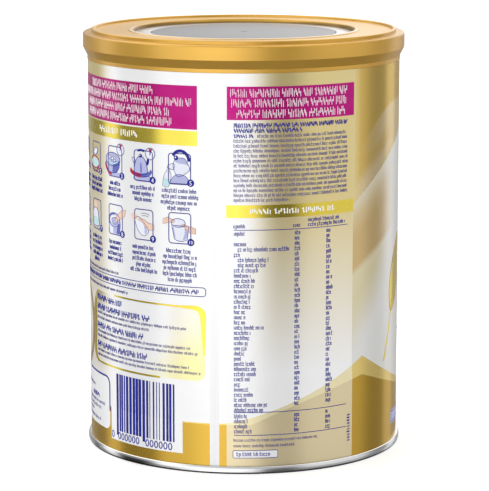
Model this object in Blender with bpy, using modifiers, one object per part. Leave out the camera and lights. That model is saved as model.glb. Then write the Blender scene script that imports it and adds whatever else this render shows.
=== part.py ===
"""Milk powder tin: a shut tin of printed tinplate, with a bare end seamed on below and a gold plastic overcap.

Metres, +Z up. The origin is the middle of the base, on the surface that the tin stands on. Every piece is turned
about the Z axis. The tin is full and shut, so its body is solid.
"""
import math

import bpy
from mathutils import Vector

MM = 0.001

# Turning: how many flats go round a circle, and how many go round a small rounding
TURNING_STEPS = 72
ROUNDING_STEPS = 2
MERGE_DISTANCE = 0.01 * MM
SHARP_ANGLE = math.radians(40)

# Clearance between pieces that touch
GAP = 0.3 * MM

# Body: a straight wall with a neck that the overcap covers
BODY_RADIUS = 63.5 * MM
SHOULDER_HEIGHT = 157.8 * MM
NECK_RADIUS = 62.2 * MM
NECK_RISE = 8.1 * MM
SHOULDER_ROUNDING = 0.5 * MM

# Bottom end: a double seam round the body's foot, a slanting chuck wall inside it and a sunk panel
SEAM_RADIUS = 64.7 * MM
SEAM_HEIGHT = 3.1 * MM
SEAM_ROUNDING = 0.75 * MM
SEAM_FOOT_ROUNDING = 0.35 * MM
FOOT_INNER_RADIUS = 62.7 * MM
CHUCK_WALL_RADIUS = 61.6 * MM
CHUCK_WALL_THICKNESS = 0.8 * MM
PANEL_UNDERSIDE = 4.1 * MM
PANEL_THICKNESS = 0.7 * MM
PANEL_CORNER_ROUNDING = 0.6 * MM
STEP_RADII = (50.0 * MM, 38.0 * MM)
STEP_RISE = 0.7 * MM
STEP_RUN = 1.2 * MM

# Overcap, measured up from the edge of its lip, which is one gap above the shoulder
LIP_RADIUS = 63.65 * MM
LIP_HEIGHT = 1.5 * MM
LIP_ROUNDING = 0.25 * MM
BAND_RADIUS = 65.4 * MM
BAND_FOOT = 4.95 * MM
BAND_FOOT_ROUNDING = 0.15 * MM
LEDGE_HEIGHT = 10.7 * MM
LEDGE_ROUNDING = 0.8 * MM
RIDGE_OUTER_RADIUS = 61.9 * MM
RIDGE_INNER_RADIUS = 60.5 * MM
RIDGE_HEIGHT = 12.2 * MM
RIDGE_ROUNDING = 0.45 * MM
RIDGE_DRAFT = 0.12 * MM
PLATE_HEIGHT = 11.25 * MM
WINDOW_LIP_RADIUS = 45.3 * MM
WINDOW_LIP_WIDTH = 1.6 * MM
WINDOW_LIP_RISE = 0.45 * MM
WINDOW_LIP_ROUNDING = 0.35 * MM
CREASE_ROUNDING = 0.15 * MM
POCKET_RADIUS = 44.6 * MM
CAP_CEILING = NECK_RISE
CAP_FLOOR_THICKNESS = 1.2 * MM

# Window: a white ring and a grey disc that lie in the overcap's pocket
WINDOW_HEIGHT = 10.3 * MM
DISC_RADIUS = 37.6 * MM
GATE_MARK_RADIUS = 1.5 * MM
GATE_MARK_DEPTH = 0.25 * MM
WINDOW_EDGE_ROUNDING = 0.12 * MM


def empty_scene():
    for thing in list(bpy.data.objects):
        bpy.data.objects.remove(thing, do_unlink=True)


def new_collection(name):
    collection = bpy.data.collections.new(name)
    bpy.context.scene.collection.children.link(collection)
    return collection


def finish(name, colour, roughness, metallic):
    """Make a Principled material from a linear colour."""
    material = bpy.data.materials.new(name)
    material.use_nodes = True
    shader = material.node_tree.nodes["Principled BSDF"]
    shader.inputs["Base Color"].default_value = (*colour, 1.0)
    shader.inputs["Roughness"].default_value = roughness
    shader.inputs["Metallic"].default_value = metallic
    return material


def rounded(corners):
    """Turn (radius, height, rounding) corners into points, with an arc that touches both sides at a rounded one."""
    points = []
    for index, (radius, height, rounding) in enumerate(corners):
        corner = Vector((radius, height))
        if rounding == 0:
            points.append(corner)
            continue
        to_last = (Vector(corners[index - 1][:2]) - corner).normalized()
        to_next = (Vector(corners[(index + 1) % len(corners)][:2]) - corner).normalized()
        half_angle = to_last.angle(to_next) / 2
        centre = corner + (to_last + to_next).normalized() * rounding / math.sin(half_angle)
        first = (corner + to_last * rounding / math.tan(half_angle) - centre).normalized()
        last = (corner + to_next * rounding / math.tan(half_angle) - centre).normalized()
        for step in range(ROUNDING_STEPS + 1):
            points.append(centre + first.slerp(last, step / ROUNDING_STEPS) * rounding)
    return points


def turned(name, corners, material, collection, parent, height, closed=False):
    """Turn an outline about Z: from the axis at the top, down the outside and back to the axis, or a closed ring."""
    points = rounded(corners)
    edges = [(index, index + 1) for index in range(len(points) - 1)]
    if closed:
        edges.append((len(points) - 1, 0))
    outline = bpy.data.meshes.new(name + "_outline")
    outline.from_pydata([(point.x, 0.0, point.y) for point in points], edges, [])
    piece = bpy.data.objects.new(name, outline)
    collection.objects.link(piece)
    screw = piece.modifiers.new("turning", "SCREW")
    screw.axis = "Z"
    screw.angle = math.tau
    screw.steps = TURNING_STEPS
    screw.render_steps = TURNING_STEPS
    screw.use_merge_vertices = True
    screw.merge_threshold = MERGE_DISTANCE

    evaluated = piece.evaluated_get(bpy.context.evaluated_depsgraph_get())
    solid = bpy.data.meshes.new_from_object(evaluated)
    solid.name = name
    piece.modifiers.clear()
    piece.data = solid
    bpy.data.meshes.remove(outline)
    solid.shade_smooth()
    solid.set_sharp_from_angle(angle=SHARP_ANGLE)
    solid.materials.clear()
    solid.materials.append(material)
    piece.location.z = height
    piece.parent = parent
    return piece


def body_outline():
    """Printed body: neck, shoulder, straight wall, and a hollow in its foot for the sunk end."""
    hollow_radius = CHUCK_WALL_RADIUS + CHUCK_WALL_THICKNESS + GAP
    hollow_height = PANEL_UNDERSIDE + STEP_RISE * len(STEP_RADII) + PANEL_THICKNESS + GAP
    foot = SEAM_HEIGHT + GAP
    return [
        (0.0, SHOULDER_HEIGHT + NECK_RISE, 0),
        (NECK_RADIUS, SHOULDER_HEIGHT + NECK_RISE, SHOULDER_ROUNDING),
        (NECK_RADIUS, SHOULDER_HEIGHT, 0),
        (BODY_RADIUS, SHOULDER_HEIGHT, SHOULDER_ROUNDING),
        (BODY_RADIUS, foot, 0),
        (hollow_radius, foot, 0),
        (hollow_radius, hollow_height, 0),
        (0.0, hollow_height, 0),
    ]


def panel_steps(height):
    """Expansion steps of the sunk panel, from its rim inwards, each a short slope that rises towards the middle."""
    corners = []
    for radius in STEP_RADII:
        corners.append((radius, height, 0))
        height += STEP_RISE
        corners.append((radius - STEP_RUN, height, 0))
    return corners, height


def end_outline():
    """Bottom end: upper side of the panel from the middle out, down the seam, and back along the underside."""
    upper, upper_middle = panel_steps(PANEL_UNDERSIDE + PANEL_THICKNESS)
    under, under_middle = panel_steps(PANEL_UNDERSIDE)
    wall_outer_radius = CHUCK_WALL_RADIUS + CHUCK_WALL_THICKNESS
    return [
        (0.0, upper_middle, 0),
        *reversed(upper),
        (wall_outer_radius, PANEL_UNDERSIDE + PANEL_THICKNESS, PANEL_CORNER_ROUNDING),
        (wall_outer_radius, SEAM_HEIGHT, 0),
        (SEAM_RADIUS, SEAM_HEIGHT, SEAM_ROUNDING),
        (SEAM_RADIUS, 0.0, SEAM_FOOT_ROUNDING),
        (FOOT_INNER_RADIUS, 0.0, SEAM_FOOT_ROUNDING),
        (CHUCK_WALL_RADIUS, PANEL_UNDERSIDE, PANEL_CORNER_ROUNDING),
        *under,
        (0.0, under_middle, 0),
    ]


def overcap_outline():
    """Overcap: pocket floor, window lip, plate, ridge, ledge, band, undercut and lip, then the socket inside."""
    socket_radius = NECK_RADIUS + GAP
    window_lip_height = PLATE_HEIGHT + WINDOW_LIP_RISE
    window_lip_outer_radius = WINDOW_LIP_RADIUS + WINDOW_LIP_WIDTH
    return [
        (0.0, CAP_CEILING + CAP_FLOOR_THICKNESS, 0),
        (POCKET_RADIUS, CAP_CEILING + CAP_FLOOR_THICKNESS, 0),
        (POCKET_RADIUS, WINDOW_HEIGHT, 0),
        (WINDOW_LIP_RADIUS, window_lip_height, WINDOW_LIP_ROUNDING),
        (window_lip_outer_radius, window_lip_height, WINDOW_LIP_ROUNDING),
        (window_lip_outer_radius + CREASE_ROUNDING, PLATE_HEIGHT, CREASE_ROUNDING),
        (RIDGE_INNER_RADIUS - RIDGE_DRAFT, PLATE_HEIGHT, CREASE_ROUNDING),
        (RIDGE_INNER_RADIUS, RIDGE_HEIGHT, RIDGE_ROUNDING),
        (RIDGE_OUTER_RADIUS, RIDGE_HEIGHT, RIDGE_ROUNDING),
        (RIDGE_OUTER_RADIUS + RIDGE_DRAFT, LEDGE_HEIGHT, CREASE_ROUNDING),
        (BAND_RADIUS, LEDGE_HEIGHT, LEDGE_ROUNDING),
        (BAND_RADIUS, BAND_FOOT, BAND_FOOT_ROUNDING),
        (LIP_RADIUS, LIP_HEIGHT, LIP_ROUNDING),
        (LIP_RADIUS, 0.0, LIP_ROUNDING),
        (socket_radius, 0.0, LIP_ROUNDING),
        (socket_radius, CAP_CEILING, 0),
        (0.0, CAP_CEILING, 0),
    ]


def window_thickness():
    return WINDOW_HEIGHT - (CAP_CEILING + CAP_FLOOR_THICKNESS + GAP)


def ring_outline():
    """White ring, with a soft upper edge on both sides."""
    inner_radius = DISC_RADIUS + GAP / 2
    outer_radius = POCKET_RADIUS - GAP
    thickness = window_thickness()
    return [
        (inner_radius, thickness, WINDOW_EDGE_ROUNDING),
        (outer_radius, thickness, WINDOW_EDGE_ROUNDING),
        (outer_radius, 0.0, 0),
        (inner_radius, 0.0, 0),
    ]


def disc_outline():
    """Grey disc, with the small sunk mark that moulding leaves in its middle."""
    radius = DISC_RADIUS - GAP / 2
    thickness = window_thickness()
    return [
        (0.0, thickness - GATE_MARK_DEPTH, 0),
        (GATE_MARK_RADIUS - GATE_MARK_DEPTH, thickness - GATE_MARK_DEPTH, 0),
        (GATE_MARK_RADIUS, thickness, 0),
        (radius, thickness, WINDOW_EDGE_ROUNDING),
        (radius, 0.0, 0),
        (0.0, 0.0, 0),
    ]


def main():
    empty_scene()
    collection = new_collection("milk_powder_tin")
    tin = bpy.data.objects.new("milk_powder_tin", None)
    collection.objects.link(tin)

    printed = finish("printed_tinplate", (0.82, 0.80, 0.72), 0.28, 0.35)
    bare = finish("bare_tinplate", (0.62, 0.62, 0.62), 0.22, 1.0)
    gold = finish("gold_plastic", (0.66, 0.40, 0.10), 0.35, 0.6)
    white = finish("white_plastic", (0.86, 0.88, 0.90), 0.30, 0.0)
    grey = finish("grey_plastic", (0.42, 0.42, 0.43), 0.45, 0.2)

    overcap_height = SHOULDER_HEIGHT + GAP
    window_base = overcap_height + WINDOW_HEIGHT - window_thickness()
    turned("tin_body", body_outline(), printed, collection, tin, 0.0)
    turned("bottom_end", end_outline(), bare, collection, tin, 0.0)
    turned("overcap", overcap_outline(), gold, collection, tin, overcap_height)
    turned("window_ring", ring_outline(), white, collection, tin, window_base, closed=True)
    turned("window_disc", disc_outline(), grey, collection, tin, window_base)


main()
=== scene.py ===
# %% [markdown]
# # A milk powder tin
# This lesson dresses the CAD model of a shut milk powder tin: a printed tinplate wall, a bare end seamed on below and
# a gold plastic overcap with a window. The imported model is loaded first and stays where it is, so every new piece can
# take its place from it.

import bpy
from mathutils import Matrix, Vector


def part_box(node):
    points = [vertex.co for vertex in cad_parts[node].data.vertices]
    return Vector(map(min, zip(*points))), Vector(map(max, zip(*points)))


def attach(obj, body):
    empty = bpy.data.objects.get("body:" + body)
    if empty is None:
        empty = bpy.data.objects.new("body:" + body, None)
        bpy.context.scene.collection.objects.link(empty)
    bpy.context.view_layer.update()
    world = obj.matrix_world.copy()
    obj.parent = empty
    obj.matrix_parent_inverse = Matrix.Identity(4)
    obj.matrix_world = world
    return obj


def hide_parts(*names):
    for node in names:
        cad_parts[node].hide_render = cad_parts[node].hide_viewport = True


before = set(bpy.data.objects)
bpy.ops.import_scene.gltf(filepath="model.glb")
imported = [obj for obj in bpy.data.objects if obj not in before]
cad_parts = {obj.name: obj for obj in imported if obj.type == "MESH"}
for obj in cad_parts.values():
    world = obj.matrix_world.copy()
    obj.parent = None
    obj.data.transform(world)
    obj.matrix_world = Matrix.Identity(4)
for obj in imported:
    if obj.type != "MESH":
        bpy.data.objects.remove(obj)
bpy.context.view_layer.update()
print("CAD nodes:", ", ".join(sorted(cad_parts)))

# %% [markdown]
# ## Sizes
# Lengths on a tin are small, so this lesson writes them in millimetres and turns them into Blender's metres as late
# as it can. The wall's radius is read from the CAD node instead of typed again. The print is drawn on a flat sheet:
# `across` runs round the wall, from the middle of the side that faces the camera to the right, and `up` is height.

# %% Units, and the size of the printed sheet
import math
import random

import bmesh
import bpy
from mathutils import Vector
from mathutils.geometry import tessellate_polygon

MM = 0.001
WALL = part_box("tin_body")[1].x / MM
SHEET = math.tau * WALL
print(f"wall radius {WALL:.1f} mm, printed sheet {SHEET:.1f} mm long")

# %% [markdown]
# ## Camera
# The photo was taken from about a metre away, a little above the lid, with a long lens. Such a lens keeps the tin's
# sides nearly parallel. The place, tilt and lens come from fitting a pinhole camera to the tin's edges in the photo,
# and the small shift puts the lens's axis where the fit found it in the frame.

# %% Camera at the photo's place
PHOTO_WIDTH, PHOTO_HEIGHT = 489, 491
CAMERA_AWAY, CAMERA_UP, LOOKS_DOWN = 1.0072, 0.2591, 10.086
SENSOR_WIDTH = 36.0
FOCAL_PIXELS, AXIS_PIXEL = 2474.7, 243.67
camera = bpy.data.objects.new("camera", bpy.data.cameras.new("camera"))
bpy.context.scene.collection.objects.link(camera)
camera.location = (0.0, -CAMERA_AWAY, CAMERA_UP)
camera.rotation_euler = (math.radians(90 - LOOKS_DOWN), 0.0, 0.0)
camera.data.sensor_width = SENSOR_WIDTH
camera.data.lens = SENSOR_WIDTH * FOCAL_PIXELS / PHOTO_HEIGHT
camera.data.shift_x = (PHOTO_WIDTH / 2 - AXIS_PIXEL) / PHOTO_HEIGHT
bpy.context.scene.camera = camera
print(f"lens {camera.data.lens:.1f} mm")

# %% [markdown]
# ## Shader sums that read like Python
# A finish is a small network of nodes, and most of it is arithmetic. Wiring that by hand is slow and hard to read. One
# class wraps a socket, so that `1 - mask * 0.5` adds the Math nodes by itself, and one method of the bench adds any
# other node: its settings first, then the values or links of its sockets.

# %% A socket that can be used in sums
class Wire:
    """An output socket. Sums on it add Math nodes to its bench."""

    def __init__(self, bench, socket):
        self.bench = bench
        self.socket = socket

    def math(self, operation, *values):
        return self.bench.node("ShaderNodeMath", {"operation": operation}, dict(enumerate(values)))

    def __getitem__(self, name):
        return Wire(self.bench, self.socket.node.outputs[name])

    def __add__(self, other):
        return self.math("ADD", self, other)

    def __sub__(self, other):
        return self.math("SUBTRACT", self, other)

    def __rsub__(self, other):
        return self.math("SUBTRACT", other, self)

    def __mul__(self, other):
        return self.math("MULTIPLY", self, other)

    def __truediv__(self, other):
        return self.math("DIVIDE", self, other)

    def __pow__(self, other):
        return self.math("POWER", self, other)

    def __lt__(self, other):
        return self.math("LESS_THAN", self, other)

    def __neg__(self):
        return self.math("MULTIPLY", self, -1.0)

    def __abs__(self):
        return self.math("ABSOLUTE", self)

    __radd__ = __add__
    __rmul__ = __mul__


# %% A bench that adds nodes
class Bench:
    """A node tree, and the ways that this lesson adds to it."""

    def __init__(self, tree):
        self.tree = tree

    def feed(self, socket, value):
        if isinstance(value, Wire):
            self.tree.links.new(value.socket, socket)
        elif isinstance(value, tuple) and socket.type == "RGBA":
            socket.default_value = (*value, 1.0)
        else:
            socket.default_value = value

    def node(self, kind, settings=None, values=None, output=0):
        """Add a node with its settings, then feed its sockets, and return one of its outputs."""
        node = self.tree.nodes.new(kind)
        for name, value in (settings or {}).items():
            setattr(node, name, value)
        for name, value in (values or {}).items():
            self.feed(node.inputs[name], value)
        return Wire(self, node.outputs[output])

    def mix(self, mask, under, over):
        """Return the colour under, with the colour over on it where the mask is 1."""
        return self.node("ShaderNodeMix", {"data_type": "RGBA"}, {0: mask, 6: under, 7: over}, output=2)

    def rise(self, value, low, high):
        """Return 0 below low and 1 above high, with a soft curve between."""
        settings = {"interpolation_type": "SMOOTHSTEP"}
        return self.node("ShaderNodeMapRange", settings, {0: value, 1: low, 2: high})

    def fall(self, value, low, high):
        return 1 - self.rise(value, low, high)

    def between(self, value, low, high, edge):
        """Return 1 from low to high and 0 outside, with edges that are soft by the edge to both sides."""
        return self.rise(value, low - edge, low + edge) - self.rise(value, high - edge, high + edge)

    def lower(self, one, other):
        return self.node("ShaderNodeMath", {"operation": "MINIMUM"}, {0: one, 1: other})

    def higher(self, one, other):
        return self.node("ShaderNodeMath", {"operation": "MAXIMUM"}, {0: one, 1: other})

    def place(self):
        """Return the surface's own point in metres, which stays on the piece when it moves."""
        return self.node("ShaderNodeTexCoord", output="Object")

    def split(self, place):
        return self.node("ShaderNodeSeparateXYZ", {}, {0: place})

    def angle(self, parts):
        """Return the angle round Z in radians, 0 towards the camera and growing to its right."""
        return self.node("ShaderNodeMath", {"operation": "ARCTAN2"}, {0: parts["X"], 1: -parts["Y"]})

    def reach(self, parts):
        """Return the distance from Z."""
        return (parts["X"] * parts["X"] + parts["Y"] * parts["Y"]) ** 0.5

    def noise(self, place, scale, detail=2.0, stretch=(1.0, 1.0, 1.0)):
        """Return soft noise from 0 to 1, about 1/scale metres long, longer along an axis with a small stretch."""
        stretched = self.node("ShaderNodeVectorMath", {"operation": "MULTIPLY"}, {0: place, 1: stretch})
        return self.node("ShaderNodeTexNoise", {}, {"Vector": stretched, "Scale": scale, "Detail": detail})

    def bump(self, height, distance):
        return self.node("ShaderNodeBump", {}, {"Strength": 1.0, "Distance": distance, "Height": height})


# %% Colours and new finishes
def linear(red, green, blue):
    """Turn a colour as a screen shows it, 0 to 255, into the linear colour that a shader uses."""
    shares = (value / 255 for value in (red, green, blue))
    return tuple(share / 12.92 if share <= 0.04045 else ((share + 0.055) / 1.055) ** 2.4 for share in shares)


def new_finish(name, **constants):
    """Return a new material, its bench and its shader, with what is the same all over set on the sockets."""
    material = bpy.data.materials.new(name)
    material.use_nodes = True
    shader = material.node_tree.nodes["Principled BSDF"]
    for socket, value in constants.items():
        shader.inputs[socket.replace("_", " ")].default_value = value
    print("finish:", name)
    return material, Bench(material.node_tree), shader


print("white paint is", [round(share, 2) for share in linear(250, 250, 250)])

# %% [markdown]
# ## Turned pieces
# The wall, the end, the overcap and its window are all round. Each could be an outline with a Screw modifier. Here a
# short function turns an outline point by point, because the wall also needs a small ridge where the sheet's edges
# are welded, and a modifier can't place that. The outlines are the CAD's, with rounder corners and a flat for each
# degree, which the eye reads as a true circle.

# %% Outlines with rounded corners
EVEN_TURN = [math.tau * step / 360 for step in range(360)]
ON_AXIS = 1e-6


def rounded(corners, steps=6):
    """Turn (radius, height, rounding) corners into points, with an arc that touches both sides at a rounded one."""
    points = []
    for index, (radius, height, rounding) in enumerate(corners):
        corner = Vector((radius, height))
        if rounding == 0:
            points.append(corner)
            continue
        to_last = (Vector(corners[index - 1][:2]) - corner).normalized()
        to_next = (Vector(corners[(index + 1) % len(corners)][:2]) - corner).normalized()
        half_angle = to_last.angle(to_next) / 2
        centre = corner + (to_last + to_next).normalized() * rounding / math.sin(half_angle)
        first = (corner + to_last * rounding / math.tan(half_angle) - centre).normalized()
        last = (corner + to_next * rounding / math.tan(half_angle) - centre).normalized()
        points += [centre + first.slerp(last, step / steps) * rounding for step in range(steps + 1)]
    return points


print(f"a coin of 20 by 2 mm has {len(rounded([(0, 2, 0), (10, 2, 0.3), (10, 0, 0.3), (0, 0, 0)]))} outline points")


# %% Turn an outline into a piece that rides on the tin
def make_piece(name, points, faces, finish, sharp=35):
    """Make an object from points in metres, smooth but for its sharp edges."""
    mesh = bpy.data.meshes.new(name)
    mesh.from_pydata(points, [], faces)
    mesh.shade_smooth()
    mesh.set_sharp_from_angle(angle=math.radians(sharp))
    mesh.materials.append(finish)
    piece = bpy.data.objects.new(name, mesh)
    bpy.context.scene.collection.objects.link(piece)
    return piece


def turn(name, outline, finish, angles=EVEN_TURN, closed=False, relief=None):
    """Turn an outline in millimetres about Z, from the middle of the top down the outside and back.

    relief is a function that gives how far the surface stands out at an angle and a radius.
    """
    points, rows = [], []
    for radius, height in outline:
        if radius < ON_AXIS:
            rows.append([len(points)])
            points.append((0.0, 0.0, height * MM))
            continue
        rows.append(list(range(len(points), len(points) + len(angles))))
        for angle in angles:
            reach = (radius + (relief(angle, radius) if relief else 0.0)) * MM
            points.append((reach * math.sin(angle), -reach * math.cos(angle), height * MM))
    faces = []
    for upper, under in zip(rows, rows[1:] + rows[:1] if closed else rows[1:]):
        for step in range(len(angles)):
            after = (step + 1) % len(angles)
            corners = [ring[place % len(ring)] for ring, place in (
                (upper, step), (under, step), (under, after), (upper, after))]
            faces.append(tuple(dict.fromkeys(corners)))
    piece = make_piece(name, points, faces, finish)
    print(f"{name}: {len(outline)} outline points, {len(faces)} faces")
    return piece


def settle(piece, slot, *nodes):
    """Say what the piece rides on and hide the CAD nodes that it stands for; its finish's slot is not used."""
    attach(piece, "root")
    if nodes:
        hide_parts(*nodes)


# %% [markdown]
# ## The printed ground
# The wall is tinplate printed with translucent inks. Where there is little white under the ink, the metal shines
# through, so the gold fields mirror the studio in bright and dark bars. Where the sheet got white first, it looks
# like paint and the bars are faint. Each field of the design is a mask that is laid over the last, and changes two
# things at once: the colour, and how much of the metal shows. The masks are sums of `across` and `up`, so the edges
# stay crisp and need no picture. The curves' numbers were fitted to edges traced in the photo, in millimetres.
# Two masks are painted shade, not print: they darken the label's left side and the panel's upper left corner.

# %% Where a point of the wall lies on the sheet
WELD = -11.5         # where the sheet's edges meet
FRONT = 169.0        # the middle of the front, to the right of the weld
HALF_FRONT = 121.8   # half the front's width


def sheet_place(bench):
    """Return millimetres across and up on the sheet, and the point itself."""
    place = bench.place()
    parts = bench.split(place)
    return bench.angle(parts) * WALL, parts["Z"] * 1000, place


class Print:
    """The colour of a print and the share of metal that shows, with one field laid over another."""

    def __init__(self, bench, colour, metal):
        self.bench = bench
        self.colour = colour
        self.metal = metal

    def lay(self, mask, colour, metal):
        """Lay a field where the mask is 1, with its colour and its share of metal."""
        self.colour = self.bench.mix(mask, self.colour, colour)
        self.metal = self.metal + (metal - self.metal) * mask


# %% Colours of the ground
WHITE = (0.93, 0.935, 0.95)
GOLD = (0.70, 0.43, 0.050)
TOP_GOLD = (0.82, 0.56, 0.14)
LABEL_GOLD = (0.84, 0.69, 0.32)
PALE_GOLD = (0.92, 0.70, 0.22)
CREAM = (0.94, 0.93, 0.76)
BEIGE = (0.92, 0.80, 0.60)
AMBER = (0.74, 0.50, 0.20)
KHAKI = (0.76, 0.64, 0.28)
PEARL = (0.76, 0.76, 0.75)
SOFT_YELLOW = (0.98, 0.94, 0.42)
EDGE = 0.12          # half the softness of a printed edge
print(f"a printed edge is soft over {2 * EDGE} mm")


# %% The front: pearl under a curved sweep, gold with a pale beam above it
SWEEP_FLAT, BEAM_FLAT = 64.5, 34.6


def drooping(run, start, slope, droop):
    """Return the height of an edge that starts at a height and climbs less and less."""
    return start + run * slope - run * run * droop


def lay_front(ground, front, inward, up):
    """Lay the front's fields. `inward` grows from the front's edges to its middle."""
    bench, rise, fall = ground.bench, ground.bench.rise, ground.bench.fall
    run = bench.lower(inward, SWEEP_FLAT)
    over = up - drooping(run, 104.5, 0.74, 0.0034)
    over_beam = up - drooping(bench.lower(run, BEAM_FLAT), 121.7, 1.235, 0.01786)
    over_glow = up - drooping(run, 76.8, 0.58, 0.003)
    above = rise(over, -EDGE, EDGE)

    lower_front = front * (1 - above)
    ground.lay(lower_front, PEARL, 0.25)
    khaki_foot = 40 + bench.higher(inward, 0)
    khaki = rise(up - khaki_foot, 0, 26) * fall(inward, 12, 30) * (1 - rise(over, -8, 0) * 0.5)
    ground.lay(lower_front * khaki * 0.66, KHAKI, 0.5)
    amber = rise(over_glow, -1.6, 2.6) * fall(inward, 12, 35) * (1 - rise(over, -16, 1) * 0.8)
    ground.lay(lower_front * amber * 0.85, AMBER, 0.7)

    upper_front = front * above
    ground.lay(upper_front, TOP_GOLD, 0.85)
    beam = fall(over_beam, -0.8, 0.8) * rise(inward, 2, 26)
    gap = rise(over, 4, 8) * fall(over, 9, 15) * fall(inward, 20, 32)
    ground.lay(upper_front * beam * (0.56 - gap * 0.36), BEIGE, 0.7)
    ground.lay(upper_front * fall(over, 3, 11) * fall(inward, 6, 30) * 0.5, BEIGE, 0.7)
    ground.lay(upper_front * fall(inward, 0, 5), LABEL_GOLD, 0.62)


# %% The label's sides and the info panel
PANEL_MIDDLE, PANEL_HALF, PANEL_ROUND = (-46.9, 51.5), (28.2, 11.2), (3.3, 3.7)


def lay_label(ground, right_label, left_label, across, up):
    """Fade the white label's right half to gold, paint shade at its left side, and tint the panel for more information.
    """
    bench, rise, fall, between = ground.bench, ground.bench.rise, ground.bench.fall, ground.bench.between
    fade = bench.higher(bench.lower((up - 40) / 68, 1), 0)
    ground.lay(right_label * rise(across, -2, 15.5) * fade, LABEL_GOLD, 0.62)
    # painted shade: the label's left side darkens to khaki towards its edge, more so higher up, where the wall turns
    # away
    painted_side_shade = rise(-across, 58, 74) * (
        0.09 + 0.22 * between(up, 34, 48, 3) + 0.29 * rise(up, 56, 68) + 0.57 * rise(up, 60, 160))
    ground.lay(left_label * painted_side_shade, KHAKI, 0.5)

    off_x, off_y = (bench.higher(abs(value - middle) - half, 0)
                    for value, middle, half in zip((across, up), PANEL_MIDDLE, PANEL_HALF))
    panel = fall((off_x * off_x + off_y * off_y) ** 0.5, *PANEL_ROUND)
    yellow_edge = -34 - bench.higher(54 - up, 0) * 0.8
    ground.lay(panel * rise(across, yellow_edge, -20) * (0.95 - 0.70 * rise(up, 42, 66)), SOFT_YELLOW, 0.35)
    ground.lay(panel * rise(across, -33, -28) * fall(across, -27, -22) * 0.12, AMBER, 0.3)
    # painted shade: the panel's upper left corner darkens to khaki, as the label's left side does
    ground.lay(panel * rise(-across, 62, 77) * rise(up, 56, 67) * 0.9, KHAKI, 0.85)


# %% The foot's two golds, which peak inside the front's edges
PEAK_INWARD, RIGHT_SLOPE_STEEPER = 6.1, 4.2
OVERLAY_LEFT, OVERLAY_RIGHT = -6.7, 47.5


def lay_foot(ground, inward, from_weld, across, up):
    """Lay the pale gold hill and the darker one in it, and a cream box where the label's column runs over them."""
    bench, rise = ground.bench, ground.bench.rise
    away = inward - PEAK_INWARD
    outer = bench.higher(-away, 0) * (1 + RIGHT_SLOPE_STEEPER * (-from_weld < -FRONT))
    inner = bench.higher(away, 0)
    slope = (1 - bench.lower(outer / 62, 1)) ** 1.35 * (1 - bench.lower(inner / 95, 1)) ** 2.4
    pale_hill = rise(20.05 + 22.9 * slope - up, -EDGE, EDGE)
    dark_top = 35.3 - outer * 0.17 - outer * outer * 0.0028 - inner * 0.34 + inner * inner * 0.0012
    dark_top = bench.higher(dark_top, 19.6 - 5.6 * rise(inner, 10, 60))
    ground.lay(pale_hill, PALE_GOLD, 0.7)
    ground.lay(rise(dark_top - up, -EDGE, EDGE), GOLD, 0.9)
    ground.lay(bench.between(across, OVERLAY_LEFT, OVERLAY_RIGHT, EDGE) * pale_hill * 0.55, CREAM, 0.2)


# %% The whole print, laid field by field
def print_ground(bench, across, up):
    """Return the ground's print: white label sides, a gold and pearl front, and a gold foot that peaks."""
    from_weld = across + SHEET * (across < WELD)
    inward = HALF_FRONT - abs(from_weld - FRONT)
    front = bench.rise(inward, -EDGE, EDGE)
    ground = Print(bench, WHITE, 0.23)
    lay_front(ground, front, inward, up)
    lay_label(ground, (1 - front) * bench.between(across, WELD, 60, 1), (1 - front) * (across < WELD), across, up)
    lay_foot(ground, inward, from_weld, across, up)
    return ground


# %% The wall's finish
STRIP_LEFT, STRIP_RIGHT = -13.4, -9.65


def wall_finish():
    material, bench, shader = new_finish(
        "printed_tinplate", Coat_Roughness=0.05, Coat_Weight=0.10, Specular_Tint=(1.0, 0.95, 0.82, 1.0))
    across, up, place = sheet_place(bench)
    ground = print_ground(bench, across, up)
    weld_strip = bench.between(across, STRIP_LEFT, STRIP_RIGHT, EDGE) * bench.fall(up, 10, 115)
    ground.lay(weld_strip, linear(240, 240, 243), 0.25)

    grain = bench.noise(place, 900, stretch=(1.0, 1.0, 0.06))
    cloud = bench.noise(place, 45)
    tone = bench.mix(cloud * 0.05, ground.colour, (0.62, 0.58, 0.50))
    bench.feed(shader.inputs["Base Color"], tone)
    bench.feed(shader.inputs["Metallic"], ground.metal)
    bench.feed(shader.inputs["Roughness"], 0.264 - ground.metal * 0.045 + (grain - 0.5) * 0.008)
    peel = bench.noise(place, 700, detail=1.0)
    bench.feed(shader.inputs["Normal"], bench.bump(peel, 0.0000001))
    return material


# %% [markdown]
# ## The wall
# A tin's wall is one sheet, rolled round and welded where its edges meet. The weld is bare of gold, so the designer
# leaves a plain strip there, and the joint stands out as a fine upright ridge. The ridge is real geometry: a few extra
# angles near the weld carry it. The neck under the overcap and the hollow over the sunk end belong to the same piece.

# %% The wall, its weld ridge and its neck
SHOULDER = 158.12                  # where the wall steps in to its neck
NECK, NECK_TOP = 62.2, 165.9
FOOT, HOLLOW, HOLLOW_TOP = 3.0, 62.7, 6.5
RIDGE_ACROSS, RIDGE_HEIGHT = 0.55, 0.07
NECK_ROUND, SHOULDER_ROUND = 0.5, 0.12


def weld_ridge(angle, radius):
    """Return how far the wall stands out at an angle, for the lapped sheet edges of the weld."""
    off = (angle * WALL - WELD + SHEET / 2) % SHEET - SHEET / 2
    if radius < WALL - 0.6 or abs(off) > RIDGE_ACROSS:
        return 0.0
    return RIDGE_HEIGHT * (0.5 + 0.5 * math.cos(math.pi * off / RIDGE_ACROSS))


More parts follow.
